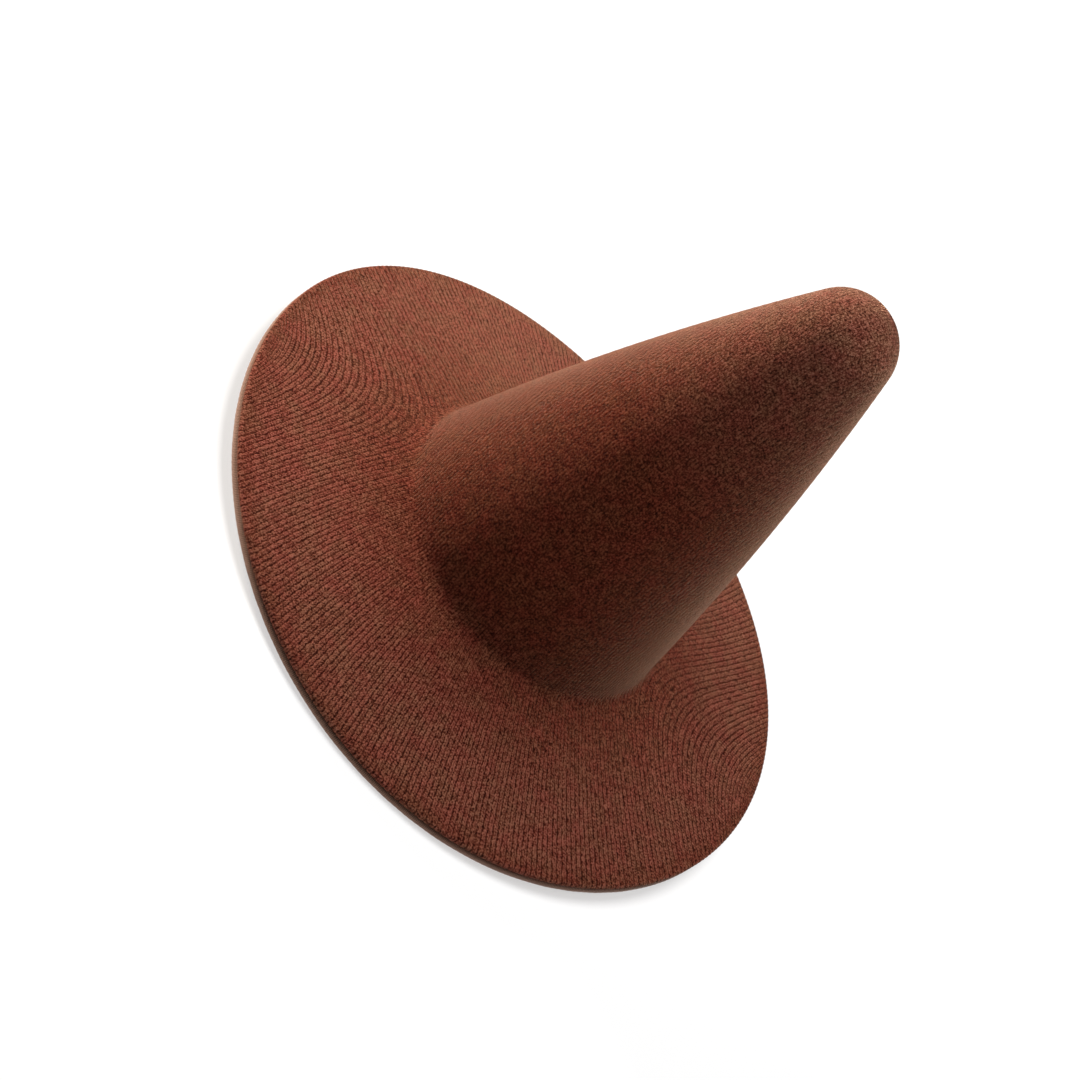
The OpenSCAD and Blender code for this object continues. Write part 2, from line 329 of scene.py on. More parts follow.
def stitchRow(name, places, ahead, out, length, radius, wavy=True):
    # Stitches as short bent tubes, one for each row of places, ahead and out: each arches out
    # of the cloth and dives in at both ends, by the fourth power of the way from its middle
    rings, sides = stitch["rings"], stitch["sides"]
    t = np.linspace(-1, 1, rings)
    x = t * length / 2
    h = radius * (stitch["rise"] - stitch["dive"] * t**4)
    thick = radius * (1 - stitch["taper"] * t**4)
    a = np.arange(sides) * 2 * math.pi / sides
    beside = np.cross(ahead, out)
    at = places[:, None] + ahead[:, None] * x[:, None] + out[:, None] * h[:, None]
    way = beside[:, None, None] * np.cos(a)[:, None] + out[:, None, None] * np.sin(a)[:, None]
    points = at[:, :, None] + way * thick[:, None, None]
    each = rings * sides
    quads, i, j = gridFaces(rings, sides, False, True)
    start = (np.arange(len(places)) * each)[:, None, None]
    uvs = gridUvs(i, j, np.arange(sides + 1) / sides, x + length / 2)
    uvs = np.tile(uvs, (len(places), 1, 1))
    caps = [np.arange(sides), each - 1 - np.arange(sides)]
    faces = [(quads[None, :, ::-1] + start).reshape(-1, 4)]
    for cap in caps:
        fans = np.stack([np.full(sides - 2, cap[0]), cap[1:-1], cap[2:]], -1)
        faces.append((fans[None] + start).reshape(-1, 3))
    points = points.reshape(-1, 3)
    return makeMesh(name, lifted(points) if wavy else points, faces, [uvs[:, ::-1], None, None])


def feed(node, inputs):
    # Each input takes another node's output as a link, and anything else as its own value
    for key, value in inputs.items():
        if isinstance(value, bpy.types.NodeSocket):
            node.id_data.links.new(value, node.inputs[key])
        else:
            node.inputs[key].default_value = value


def added(tree, kind, inputs, output=0, **settings):
    # One output of a new node
    node = tree.nodes.new("ShaderNode" + kind)
    for key, value in settings.items():
        setattr(node, key, value)
    feed(node, inputs)
    return node.outputs[output]


def newMaterial(name, rough, sheen=0.0, sheenRough=0.5, sheenTint=(1, 1, 1), specular=0.3, metal=0.0):
    material = bpy.data.materials.new(name)
    material.use_nodes = True
    shader = material.node_tree.nodes["Principled BSDF"]
    feed(shader, {"Roughness": rough, "Metallic": metal, "Specular IOR Level": specular,
                  "Sheen Weight": sheen, "Sheen Roughness": sheenRough, "Sheen Tint": (*sheenTint, 1)})
    return material, material.node_tree, shader


def calc(tree, operation, *values, clamp=False):
    return added(tree, "Math", dict(enumerate(values)), operation=operation, use_clamp=clamp)


def mapRange(tree, value, fromLow, fromHigh, toLow, toHigh):
    return added(tree, "MapRange", {0: value, 1: fromLow, 2: fromHigh, 3: toLow, 4: toHigh})


def ramp(tree, value, stops):
    node = tree.nodes.new("ShaderNodeValToRGB")
    points = node.color_ramp.elements
    while len(points) < len(stops):
        points.new(0.5)
    for point, (at, colour) in zip(points, stops):
        point.position = at
        point.color = (*colour, 1)
    feed(node, {0: value})
    return node.outputs[0]


def blendColours(tree, amount, a, b, how="MIX"):
    a, b = (value if not isinstance(value, tuple) else (*value, 1) for value in (a, b))
    return added(tree, "Mix", {0: amount, 6: a, 7: b}, 2, data_type="RGBA", blend_type=how)


def noise(tree, where, scale, detail=2.0, rough=0.5, twist=0.0):
    inputs = {"Vector": where, "Scale": scale, "Detail": detail, "Roughness": rough, "Distortion": twist}
    return added(tree, "TexNoise", inputs, "Fac")


def stretched(tree, where, scale):
    return added(tree, "Mapping", {"Vector": where, "Scale": scale})


def objectPlace(tree):
    return added(tree, "TexCoord", {}, "Object")


def weavePlace(tree):
    return added(tree, "UVMap", {}, uv_map="weave")


def parts(tree, vector):
    node = tree.nodes.new("ShaderNodeSeparateXYZ")
    feed(node, {0: vector})
    return node.outputs[0], node.outputs[1], node.outputs[2]


def paint(tree, shader, colour, height, distance, strength):
    # Gives the shader relief from a height, and a colour or a ramp's stops over that height
    if isinstance(colour, list):
        colour = ramp(tree, height, colour)
    relief = added(tree, "Bump", {"Strength": strength, "Distance": distance, "Height": height})
    feed(shader, {"Base Color": colour, "Normal": relief})


def waveOf(tree, value, times):
    # A wave from 0 to 1: half of one plus the cosine of a full turn for each 1 / times of value
    turn = calc(tree, "MULTIPLY", value, 2 * math.pi * times)
    return calc(tree, "MULTIPLY_ADD", calc(tree, "COSINE", turn), 0.5, 0.5)


def aroundHalf(tree, value, times):
    # times the distance of value from a half
    return calc(tree, "MULTIPLY", calc(tree, "SUBTRACT", value, 0.5), times)


wool = {
    # The first knit colour is painted shade for the hollows between legs and wales, and the third a painted highlight
    # on their ridges. The middle one is the yarn's own colour
    "grooveShade": (0.019, 0.0032, 0.0017),
    "yarn": (0.104, 0.0255, 0.015),
    "crestHighlight": (0.26, 0.09, 0.06),
    "feltTint": (0.73, 0.56, 0.45),  # the felted crown against the ribbed brim
    "paintedTipLight": (1.12, 1.4, 1.45),  # painted highlight: the tip lighter and paler, for the light and sheen it catches from above
    "tipLightFrom": 0.19,
    "tipLightTo": 0.345,  # heights between which the painted tip light takes over
    "redTint": (1.05, 0.89, 0.9),
    "tanTint": (0.97, 1.09, 0.98),
    "wobble": 0.32,  # wales, by which the fibres blur a rib's edge
    "sway": 0.9,  # courses, by which the stitches wander
    "lean": 1.3,  # courses that a leg climbs over one wale
    "legSquare": 2.2,  # power that steepens a leg's sides
    "ribHeight": 0.45,
    "stitchHeight": 0.55,
    "stitchDip": 0.6,  # share of a leg's height lost between two courses
    "bridgeHeight": 0.28,
    "brimShow": 1.2,  # how strongly the stitches' relief, painted shade and painted highlight show on the brim
    "feltHides": 0.72,  # and how much of that felt takes away
    "clump": 0.8,
    "fibre": 2.5,
    "brimSheen": 0.2,
    "feltSheen": 0.33,
    "clumpScale": 330,
    "fibreScale": 850,
    "patchScale": 60,
    "blotchScale": 75,
}


def knitMaterial():
    # U counts wales and V counts courses. Each wale is two legs of yarn at a quarter either
    # side of its middle, the legs lean so that each course makes a V, and threads bridge the
    # groove between the wales once a course. Felting lowers all of this under loose fibre
    material, tree, shader = newMaterial("woolKnit", 0.95, 0.3, 0.3, (1, 0.62, 0.4), 0.04)
    place = objectPlace(tree)
    u, v, _ = parts(tree, weavePlace(tree))
    felt = added(tree, "Attribute", {}, "Fac", attribute_name="felt")
    clump = noise(tree, place, wool["clumpScale"], 2, 0.6)
    fibre = noise(tree, place, wool["fibreScale"], 2, 0.7)
    patch = noise(tree, place, wool["patchScale"], 2)
    u = calc(tree, "ADD", u, aroundHalf(tree, clump, wool["wobble"] * 2))
    v = calc(tree, "ADD", v, aroundHalf(tree, patch, wool["sway"]))
    overWale = calc(tree, "FRACT", calc(tree, "ADD", u, 0.5))
    fromMid = calc(tree, "ABSOLUTE", aroundHalf(tree, overWale, 1))
    fromLeg = calc(tree, "ABSOLUTE", calc(tree, "MULTIPLY_ADD", fromMid, 4, -1))
    leg = calc(tree, "SUBTRACT", 1, calc(tree, "POWER", fromLeg, wool["legSquare"]), clamp=True)
    along = waveOf(tree, calc(tree, "MULTIPLY_ADD", fromMid, wool["lean"], v), 1)
    along = calc(tree, "MULTIPLY_ADD", along, wool["stitchDip"], 1 - wool["stitchDip"])
    stitches = calc(tree, "MULTIPLY", leg, along)
    rib = waveOf(tree, u, 1)
    bridge = calc(tree, "MULTIPLY", calc(tree, "SUBTRACT", 1, rib), waveOf(tree, v, 1))
    height = calc(tree, "MULTIPLY", stitches, wool["stitchHeight"])
    height = calc(tree, "MULTIPLY_ADD", rib, wool["ribHeight"], height)
    height = calc(tree, "MULTIPLY_ADD", bridge, wool["bridgeHeight"], height)
    shown = calc(tree, "MULTIPLY_ADD", felt, -wool["feltHides"], wool["brimShow"])
    tone = calc(tree, "MULTIPLY_ADD", aroundHalf(tree, height, 1), shown, 0.5)
    loose = calc(tree, "ADD", aroundHalf(tree, fibre, wool["fibre"]), aroundHalf(tree, clump, wool["clump"]))
    tone = calc(tree, "ADD", tone, loose)
    # Painted shade and highlight over the yarn's own colour: low tone darkens the hollows and high tone lightens the
    # ridges. The bump adds real relief as well
    colour = ramp(tree, tone, [(0.06, wool["grooveShade"]), (0.5, wool["yarn"]), (1.0, wool["crestHighlight"])])
    blotch = noise(tree, place, wool["blotchScale"], 3, 0.6)
    hue = ramp(tree, blotch, [(0.36, wool["redTint"]), (0.64, wool["tanTint"])])
    colour = blendColours(tree, 1.0, colour, hue, "MULTIPLY")
    # Painted highlight: from low on the crown up to the tip, the felt's tint gives way to a lighter, paler one, on the
    # tip's shaded side too
    tipLit = mapRange(tree, parts(tree, place)[2], wool["tipLightFrom"], wool["tipLightTo"], 0, 1)
    tint = blendColours(tree, tipLit, wool["feltTint"], wool["paintedTipLight"])
    colour = blendColours(tree, felt, colour, blendColours(tree, 1.0, colour, tint, "MULTIPLY"))
    sheen = calc(tree, "MULTIPLY_ADD", felt, wool["feltSheen"], wool["brimSheen"])
    feed(shader, {"Sheen Weight": sheen})
    paint(tree, shader, colour, tone, 0.0005, 0.75)
    return material


def clothMaterial(name, colours, acrossPitch, alongPitch, rough=0.85, sheen=0.3, relief=0.0002, lean=0.0):
    # A plain woven or knitted cloth: UVs in metres, threads across and along at their pitches,
    # and those along on a slant where lean isn't 0
    material, tree, shader = newMaterial(name, rough, sheen, 0.4, (1, 0.9, 0.85), 0.2)
    place = objectPlace(tree)
    u, v, _ = parts(tree, weavePlace(tree))
    slanted = calc(tree, "MULTIPLY_ADD", u, lean, v)
    first = waveOf(tree, u, 1 / acrossPitch)
    second = waveOf(tree, slanted, 1 / alongPitch)
    height = calc(tree, "MULTIPLY", first, calc(tree, "MULTIPLY_ADD", second, 0.6, 0.4))
    height = calc(tree, "ADD", aroundHalf(tree, noise(tree, place, 1100, 2, 0.6), 0.4), height)
    colour = ramp(tree, height, [(0.0, colours[0]), (0.9, colours[1])])
    patch = noise(tree, place, 45, 2)
    colour = blendColours(tree, mapRange(tree, patch, 0.3, 0.7, 0, 0.25), colour, colours[0])
    paint(tree, shader, colour, height, relief, 0.9)
    return material


def dress(piece, material):
    piece.data.materials.clear()
    piece.data.materials.append(material)


def finish(piece, material, node):
    # Gives a new piece its material and its body, and hides the node that it replaces
    dress(piece, material)
    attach(piece, "root")
    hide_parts(node)
    return piece


knit = {
    "wales": 168,
    "perWale": 4,  # columns of points
    "rows": 105,
    "fineRows": 400,  # steps in which a wale is measured
    "course": 0.0022,
    "spread": 0.25,  # how fast the wales draw together from the edge inwards
    "brimTwist": 0.17,
    "crownTwist": 1.55,  # radians a metre
    "turnCost": 0.055,  # metres of straight wale that one radian of bend is worth in rows
    "brimRelief": 0.00026,
    "crownRelief": 0.00009,
    "edgeRings": 7,
    "coarse": 8,  # columns of the outer face to one of the inner face
    "innerRows": (4, 9, 5, 11, 7),  # on the edge, brim, foot, side and tip
    "softened": (0.168, 0.1, 0.62),  # radii between which felt grows on the brim, and how far
    "handled": (0.193, 0.201, 0.4),  # the same at its edge
    "crownFelt": (0.01, -0.03),  # distances past the crown's side between which felt is full
}


def smoothStep(x, low, high):
    t = np.clip((x - low) / (high - low), 0, 1)
    return t * t * (3 - 2 * t)


def waleField():
    # Tables over the distance s down the face. The share of the flat sheet's radius is
    # (r / edge)^spread on the brim and grows evenly with r on the crown. The twist goes with
    # the logarithm of r on the brim and evenly with s on the crown
    s = np.linspace(0, brimEnd, 6001)
    r = section(s)[0][:, 0]
    edgeR = r[-1]
    joinR = corner[0]
    joinShare = (joinR / edgeR) ** knit["spread"]
    brimShare = (np.maximum(r, 1e-6) / edgeR) ** knit["spread"]
    share = np.where(r < joinR, joinShare * r / joinR, brimShare)
    brimTwist = knit["brimTwist"] * np.log(np.maximum(r, joinR * 0.5) / edgeR)
    crownTwist = np.interp(sideEnd, s, brimTwist) - knit["crownTwist"] * (sideEnd - s)
    return s, share, np.where(s > sideEnd, brimTwist, crownTwist)


def drape(x, y, field):
    # Where the point (x, y) of the flat sheet's unit disc lies on the hat, its normal there and
    # its distance down the face, from its reach on the disc, its direction and the twist
    s, share, twist = field
    down = np.interp(np.hypot(x, y), share, s)
    turn = np.arctan2(x, -y) + np.interp(down, s, twist)
    flat, n = section(down)
    return turned(flat[..., 0], flat[..., 1], turn), turned(n[..., 0], n[..., 1], turn), down


def waleOnDisc(theta, b):
    # Points b along the wales: a wale is the disc's chord at x = sin(theta)
    x = np.broadcast_to(np.sin(theta)[:, None], b.shape)
    return x, np.cos(theta)[:, None] * np.sin(math.pi * b / 2)


def feltAmount(s):
    # How felted the knit is: crisp ribs on the outer brim, softer where the edge is handled,
    # and soft on the crown
    r = section(s)[0][..., 0]
    brim = sum(smoothStep(r, low, high) * most for low, high, most in (knit["softened"], knit["handled"]))
    crown = smoothStep(s - sideEnd, *knit["crownFelt"])
    return np.where(s < footEnd, brim + (1 - brim) * crown, brim)


def ribRelief(wale, s):
    # A rib's face sinks by half its depth times one less the cosine of a full turn each wale
    depth = knit["brimRelief"] + (knit["crownRelief"] - knit["brimRelief"]) * feltAmount(s)
    return depth * (np.cos(2 * math.pi * wale) - 1) / 2


def waleRows(theta, field):
    # Each wale's rows, from -1 at the front edge to 1 at the back one, evenly spaced over its
    # length plus a cost for its bends, and the length there from its middle. Whole numbers
    # added to the wales' tables let one rising table serve them all
    order = np.arange(len(theta))[:, None]
    fine = np.broadcast_to(np.linspace(-1, 1, knit["fineRows"] + 1), (len(theta), knit["fineRows"] + 1))
    steps = np.diff(drape(*waleOnDisc(theta, fine), field)[0], axis=1)
    size = np.linalg.norm(steps, axis=2)
    ahead = steps / np.maximum(size, 1e-9)[..., None]
    bend = np.arccos(np.clip((ahead[:, 1:] * ahead[:, :-1]).sum(axis=2), -1, 1))
    bend = np.pad(bend, ((0, 0), (1, 0)))
    run = np.pad(np.cumsum(size, axis=1), ((0, 0), (1, 0)))
    cost = np.pad(np.cumsum(size + knit["turnCost"] * bend, axis=1), ((0, 0), (1, 0)))
    cost = cost / cost[:, -1:] * (1 - 1e-9) + order
    asked = np.linspace(0, 1 - 1e-9, knit["rows"])[None, :] + order
    b = np.interp(asked.ravel(), cost.ravel(), fine.ravel()).reshape(asked.shape)
    b[:, 0], b[:, -1] = -1, 1
    fromMid = run - run[:, knit["fineRows"] // 2, None]
    length = np.interp((b + 3 * order).ravel(), (fine + 3 * order).ravel(), fromMid.ravel())
    return b, length.reshape(b.shape)


def rolledEdge(rim, around, rimLength, first):
    # Rings of points that go on from the sheet's rim and turn under, numbered from first
    wales, rings = knit["wales"], knit["edgeRings"]
    edgeS = brimEnd + (edgeEnd - brimEnd) * np.arange(1, rings + 1) / rings
    rimWale = np.where(around <= math.pi / 2, around, math.pi - around) * wales / math.pi
    flat, n = section(edgeS)
    relief = ribRelief(rimWale[None, :], edgeS[:, None])[..., None]
    points = spun(flat, around) + spun(n, around) * relief
    columns = len(around)
    ids = np.vstack([rim[None, :], first + np.arange(rings * columns).reshape(rings, -1)])
    run = np.concatenate([[0], edgeS - brimEnd]) / knit["course"]
    side = np.where(np.arange(columns) < columns // 2, -1.0, 1.0)

    def ringUv(k, m):
        return np.stack([rimWale[k] + 0 * m, side[None, :] * (rimLength[k] + run[m])], -1)

    m = np.arange(rings)[:, None]
    k = np.arange(columns)[None, :] + 0 * m
    k2 = (k + 1) % columns
    quads = np.stack([ids[m, k], ids[m + 1, k], ids[m + 1, k2], ids[m, k2]], -1)
    uvs = np.stack([ringUv(k, m), ringUv(k, m + 1), ringUv(k2, m + 1), ringUv(k2, m)], -2)
    return points.reshape(-1, 3), quads.reshape(-1, 4), uvs.reshape(-1, 4, 2), ids[-1]


def innerFace(rim, around, first):
    # The cover's inner face, with fewer columns: from the hem back up to the tip, and zipped
    # to the last ring of the edge
    step = knit["coarse"]
    coarse = len(around) // step
    stops = (edgeEnd, brimEnd, footEnd, sideEnd, tipEnd, 0)
    s = [hemEnd, hemEnd, edgeEnd]
    for start, end, rows in zip(stops, stops[1:], knit["innerRows"]):
        s += list(np.linspace(start, end, rows + 1)[1:])
    s = np.array(s[:-1])  # the pole is a point of its own
    inset = np.full(len(s), hat["coverT"])
    inset[0] = 0
    points = spun(section(s, inset)[0], around[::step]).reshape(-1, 3)
    pole = section(0, hat["coverT"])[0]
    c = np.arange(coarse)
    c2 = (c + 1) % coarse
    sub = np.arange(step)
    k = c[:, None] * step + sub[None, :]
    nearest = np.where(sub[None, :] < step // 2, c[:, None], c2[:, None])
    zipper = np.stack([rim[k], first + nearest, rim[(k + 1) % len(around)]], -1).reshape(-1, 3)
    middle = np.stack([rim[c * step + step // 2], first + c, first + c2], -1)
    rows = np.roll(gridFaces(len(s), coarse, False, True)[0][:, ::-1] + first, 1, axis=1)
    last = first + (len(s) - 1) * coarse
    cap = np.stack([last + c, np.full(coarse, first + len(s) * coarse), last + c2], -1)
    return np.vstack([points, [0, 0, pole[1]]]), [zipper, middle, rows, cap]


def knitCover():
    # A flat knitted sheet's unit disc is drawn over the hat. A wale is a line of one x on the
    # disc, numbered by the arcsine of x, and its rows run from the front edge to the back one
    field = waleField()
    wales = knit["wales"]
    last = wales * knit["perWale"]
    theta = (np.arange(1, last) / last - 0.5) * math.pi
    wale = theta * wales / math.pi
    b, length = waleRows(theta, field)
    columns, rows = b.shape
    count = columns * rows
    points, normals, down = drape(*waleOnDisc(theta, b), field)
    points = points + normals * ribRelief(wale[:, None], down)[..., None]
    ends = np.array([-1.0, 1.0])
    endPoints, _, endDown = drape(ends, 0 * ends, field)
    uvPoint = np.vstack([
        np.stack([np.broadcast_to(wale[:, None], b.shape), length / knit["course"]], -1).reshape(-1, 2),
        [[-wales / 2, 0], [wales / 2, 0]],
    ])
    quads = np.roll(gridFaces(columns, rows)[0][:, ::-1], 1, axis=1)
    low = np.arange(rows - 1)
    high = (columns - 1) * rows + low
    fanA = np.stack([np.full(rows - 1, count), low, low + 1], -1)
    fanB = np.stack([np.full(rows - 1, count + 1), high + 1, high], -1)

    # The rim runs along the front half and back along the back one
    rim = np.concatenate([[count], np.arange(columns) * rows, [count + 1],
                          (np.arange(columns) * rows + rows - 1)[::-1]])
    around = (np.arange(2 * last) / last - 0.5) * math.pi
    edge, edgeQuads, edgeUvs, hemRim = rolledEdge(rim, around, np.abs(uvPoint[rim, 1]), count + 2)
    inner, innerFaces = innerFace(hemRim, around, count + 2 + len(edge))
    faces = [quads, fanA, fanB, edgeQuads, *innerFaces]
    uvs = [uvPoint[quads], uvPoint[fanA], uvPoint[fanB], edgeUvs, *[None] * len(innerFaces)]
    felt = np.concatenate([feltAmount(down).ravel(), feltAmount(endDown), np.zeros(len(edge) + len(inner))])
    allPoints = np.vstack([points.reshape(-1, 3), endPoints, edge, inner])
    print("knit cover:", sum(len(f) * (f.shape[1] - 2) for f in faces), "triangles")
    return makeMesh("knitCover", lifted(allPoints), faces, uvs, {"felt": felt})


cover = finish(knitCover(), knitMaterial(), "knit_cover")


facingShape = {
    "outer": 0.0013,  # its outer end, inboard of the edge's centre
    "hemEnd": 0.009,  # where it leaves the hem
    "foamStart": 0.019,  # where it lies on the foam
    "legGap": 0.00007,  # between the turned-up leg and the band
    "legT": 0.0008,
    "legRise": 0.008,  # behind the band
}
pipingShape = {
    "flangeT": 0.0006,
    "wall": 0.0009,
    "around": 30,
    "columns": 1240,
    "slant": 900,  # radians of ripple for a metre round the cord
    "ripples": 310,
    "rippleDepth": 0.00006,
    "dents": 47,
    "dentDepth": 0.00005,
    "fade": 0.002,
}
flangeIn = 2 * hat["edgeR"] + hat["gap"]
facingFar = flangeIn + pipingShape["flangeT"] + hat["gap"]
foamOut = 2 * hat["edgeR"] - hat["coverT"] - hat["gap"]
facingNear = foamOut + hat["gap"]


def spaced(points, step):
    # The same line with points no further apart than step
    out = [points[0]]
    for a, b in zip(points[:-1], points[1:]):
        n = max(1, math.ceil(np.linalg.norm(b - a) / step))
        out += [a + (b - a) * k / n for k in range(1, n + 1)]
    return np.array(out)


def underBrim():
    # The facing's section: from the piping over the hem, along the foam and up behind the band
    legIn = bandHigh[0] + facingShape["legGap"]

    def face(shift, legR):
        far, near = facingFar + shift, facingNear + shift
        return [brimAt(facingShape["outer"], far), brimAt(facingShape["hemEnd"], far),
                brimAt(facingShape["foamStart"], near), brimAt(brimAlong(legR, near), near),
                np.array([legR, bandLow[2] + facingShape["legRise"]])]

    top = spaced(face(0, legIn + facingShape["legT"]), 0.006)
    low = spaced(face(hat["facingT"], legIn), 0.006)
    return hoop("underBrim", np.vstack([top[::-1], low]), 480)


facing = finish(
    underBrim(),
    clothMaterial("facingKnit", [(0.06, 0.019, 0.014), (0.19, 0.07, 0.052)], 0.0019, 0.0014),
    "under_brim")


def ringLoop(centre, radius, n):
    # A circle as (r, z) points
    return centre + radius * polar(-np.arange(n) * 2 * math.pi / n)


def edgePiping():
    # Fabric rolled round a cord, with a flange between hem and facing and a flat foot. Slight
    # ripples run round it on a slant, with some dents, and fade out towards the flange
    shape = pipingShape
    flangeLow = (edgeC - pipeC) @ brimV + hat["edgeR"] - facingFar + hat["gap"]
    heights = np.array([flangeLow, flangeLow + shape["flangeT"]])
    lowA, highA = np.arccos(heights / hat["pipeR"])
    turn = np.linspace(highA, lowA - 2 * math.pi, shape["around"]) + math.pi / 2 - hat["droop"]
    rolled = pipeC + hat["pipeR"] * polar(turn)
    rolled[:, 1] = np.maximum(rolled[:, 1], 0)
    inboard = hat["hem"] + (edgeC - pipeC) @ brimU
    flange = [pipeC + h * brimV - inboard * brimU for h in heights]
    total = lengthAlong(rolled)[-1]

    def ripple(along, angle):
        ripples = 1 + np.cos(shape["ripples"] * angle + shape["slant"] * along)
        dents = 1 + np.sin(shape["dents"] * angle + 3 * np.sin(9 * angle))
        depth = shape["rippleDepth"] * ripples + shape["dentDepth"] * dents
        return -depth * smoothStep(np.minimum(along, total - along), 0, shape["fade"])

    return hoop("edgePiping", np.vstack([rolled, flange]), shape["columns"], ripple,
                bore=ringLoop(pipeC, hat["pipeR"] - shape["wall"], 16))


finish(edgePiping(),
       clothMaterial("pipingWool", [(0.15, 0.075, 0.05), (0.44, 0.26, 0.185)], 0.0011, 0.0011,
                     sheen=0.45, lean=0.6),
       "edge_piping")
finish(hoop("pipingCord", ringLoop(pipeC, (cordHigh[2] - cordLow[2]) / 2, 12), 360),
       clothMaterial("cottonCord", [(0.5, 0.46, 0.38), (0.8, 0.76, 0.68)], 0.002, 0.0012, lean=0.8),
       "piping_cord")


def foamMaterial():
    # Needle-punched sheet: short fibres in clumps, with fine pits
    material, tree, shader = newMaterial("formFoam", 0.95, 0.15, 0.5, (1, 1, 1), 0.15)
    place = objectPlace(tree)
    clump = noise(tree, place, 260, 4, 0.7, 0.6)
    pits = noise(tree, place, 1300, 2, 0.5)
    height = calc(tree, "MULTIPLY_ADD", pits, 0.4, clump)
    stops = [(0.4, (0.02, 0.016, 0.014)), (0.9, (0.085, 0.07, 0.06))]
    paint(tree, shader, stops, height, 0.0004, 0.7)
    return material


def metalMaterial(name, colour, stretch, rough):
    # Drawn metal: fine scratches run along one direction, and broad dull patches
    material, tree, shader = newMaterial(name, rough, specular=0.5, metal=1.0)
    place = objectPlace(tree)
    scratch = noise(tree, stretched(tree, place, stretch), 900, 2, 0.5)
    dull = noise(tree, place, 70, 2)
    dark = tuple(c * 0.6 for c in colour)
    feed(shader, {"Roughness": mapRange(tree, dull, 0.3, 0.7, rough - 0.08, rough + 0.15)})
    paint(tree, shader, [(0.3, dark), (0.7, colour)], scratch, 0.00002, 0.5)
    return material


wireEdge = {
    "endGap": 0.0001,  # round the ferrule
    "thinFrom": 0.004,  # from the fillet, where the collar thins to the crown foam's thickness
    "wireGap": 0.003 / edgeC[0],
    "ferruleSpan": 0.014 / edgeC[0],
    "ferruleR": hat["edgeR"] - hat["coverT"] - hat["gap"],
    "wireR": (wireHigh[2] - wireLow[2]) / 2,
    "crimp": 0.06,  # share of the ferrule's radius, at half of the way to its ends
    "crimpWidth": 0.12,
}
foamIn = hat["coverT"] + hat["gap"]
foamMat = foamMaterial()


def makeBrimFoam():
    end = wireEdge["ferruleR"] + 2 * wireEdge["endGap"]
    thin = (edgeC - footC) @ brimU - wireEdge["thinFrom"]
    curve = np.linspace(sideEnd, footEnd, 8)
    top = [*section(curve, foamIn)[0], brimAt(end, foamIn)]
    low = [*section(curve, foamIn + hat["foamT"])[0], brimAt(thin, foamOut), brimAt(end, foamOut)]
    loop = np.vstack([spaced(top, 0.008), spaced(low, 0.008)[::-1]])
    return hoop("brimFoam", loop, 360)


foam = finish(makeBrimFoam(), foamMat, "brim_foam")
wireSpan = (math.pi + wireEdge["wireGap"] / 2, 3 * math.pi - wireEdge["wireGap"] / 2)
finish(hoop("edgeWire", ringLoop(edgeC, wireEdge["wireR"], 12), 420, spanA=wireSpan),
       metalMaterial("springSteel", (0.5, 0.5, 0.52), (1, 1, 8), 0.32),
       "edge_wire")


def wireFerrule():
    # A crimped tube over the wire's ends: the bore and the outside as one closed section. Its
    # radius dips as a bell curve at two places
    around, along = 20, 29
    angle = math.pi + np.linspace(-0.5, 0.5, along) * wireEdge["ferruleSpan"]
    fromDip = (np.abs(np.linspace(-1, 1, along)) - 0.5) / wireEdge["crimpWidth"]
    dips = 1 - wireEdge["crimp"] * np.exp(-fromDip**2)
    shells = []
    for radius, scale in ((wireEdge["ferruleR"], dips), (wireEdge["wireR"] + hat["gap"], np.ones(along))):
        ring = edgeC + (ringLoop(edgeC, radius, around) - edgeC)[:, None] * scale[None, :, None]
        shells.append(turned(ring[..., 0], ring[..., 1], angle[None, :]))
    count = around * along
    quads = gridFaces(around, along, True, False)[0]
    a = np.arange(around) * along
    b = np.roll(a, -1)
    starts = np.stack([a, b, b + count, a + count], -1)
    ends = np.stack([b, a, a + count, b + count], -1) + along - 1
    points = np.concatenate([shell.reshape(-1, 3) for shell in shells])
    faces = [quads[:, ::-1], quads + count, starts[:, ::-1], ends[:, ::-1]]
    return makeMesh("wireFerrule", lifted(points), faces, [None] * 4)


finish(wireFerrule(), metalMaterial("ferruleBrass", (0.72, 0.52, 0.2), (1, 1, 1), 0.35),
       "wire_ferrule")
for node in ("crown_foam", "tip_foam"):
    dress(frame["nodes"][node], foamMat)


def tapeMaterial():
    # Plain-woven cotton tape: threads up the crown and round it, from the piece's own place
    material, tree, shader = newMaterial("seamTape", 0.9, 0.2, 0.5, specular=0.2)
    place = objectPlace(tree)
    x, y, z = parts(tree, place)
    turn = calc(tree, "ARCTAN2", x, y)
    first = waveOf(tree, turn, 1000)
    second = waveOf(tree, z, 1400)
    fine = noise(tree, place, 1200, 2)
    height = calc(tree, "MULTIPLY_ADD", fine, 0.4, calc(tree, "MULTIPLY", first, second))
    stops = [(0.1, (0.5, 0.45, 0.37)), (0.9, (0.78, 0.74, 0.66))]
    paint(tree, shader, stops, height, 0.0001, 0.8)
    return material


tapeMat = tapeMaterial()
for node in ("crown_seam_tape", "tip_seam_tape", "brim_seam_tape"):
    dress(frame["nodes"][node], tapeMat)
print("edge, brim and form ready")


lining = {
    "inset": hat["coverT"] + hat["foamT"] + hat["tapeT"] + 3 * hat["gap"],
    "pucker": 0.0011,
    "folds": 19,
    "smallFolds": 11,
    "startZ": bandHigh[2] + 0.004,  # heights between which the folds set in
    "fullZ": bandHigh[2] + 0.06,
    "labelTop": (0.115, 0.14),  # and over which they come back above the labels
    "labelSide": (0.3, 0.5),  # radians beside them
}


